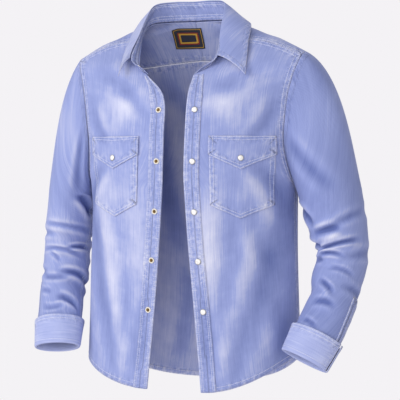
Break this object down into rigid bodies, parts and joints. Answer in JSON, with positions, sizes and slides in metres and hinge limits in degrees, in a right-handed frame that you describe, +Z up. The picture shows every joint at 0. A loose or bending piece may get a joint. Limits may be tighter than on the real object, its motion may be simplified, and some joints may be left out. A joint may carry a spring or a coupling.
{
  "type": "denim shirt",
  "caption": "Light denim shirt, filled out as worn and open down the front, with a spread collar, flap chest pockets, snap fronts and turned-up cuffs.",
  "frame": {"origin": "middle of the neck opening, level with the tops of the shoulders, where the wearer's shoulders carry it", "axes": "+X towards the wearer's left, front faces -Y, +Z up"},
  "size_m": [0.6994, 0.2701, 0.8017],
  "materials": {
    "denim": "washed light blue cotton twill",
    "denim_wrong_side": "paler wrong side of washed denim",
    "pearl": "glossy pearl white with a metal rim",
    "brass": "antique brass in an ivory ring",
    "woven_label": "dark woven polyester"
  },
  "bodies": {
    "root": {"front_left": "denim", "front_right": "denim", "back": "denim", "back_yoke": "denim", "placket_left": "denim", "placket_right": "denim", "pocket_left": "denim", "pocket_right": "denim", "pocket_flap_left": "denim", "pocket_flap_right": "denim", "sleeve_left": "denim", "sleeve_right": "denim", "sleeve_placket_left": "denim", "sleeve_placket_right": "denim", "collar_stand": "denim", "collar_leaf": "denim", "cuff_left": "denim_wrong_side", "cuff_right": "denim_wrong_side", "label": "woven_label", "snap_cap_1": "pearl", "snap_cap_2": "pearl", "snap_cap_3": "pearl", "snap_cap_4": "pearl", "snap_cap_5": "pearl", "snap_flap_left": "pearl", "snap_flap_right": "pearl", "snap_stud_1": "brass", "snap_stud_2": "brass", "snap_stud_3": "brass", "snap_stud_4": "brass", "snap_stud_5": "brass", "snap_collar": "brass"}
  },
  "joints": []
}
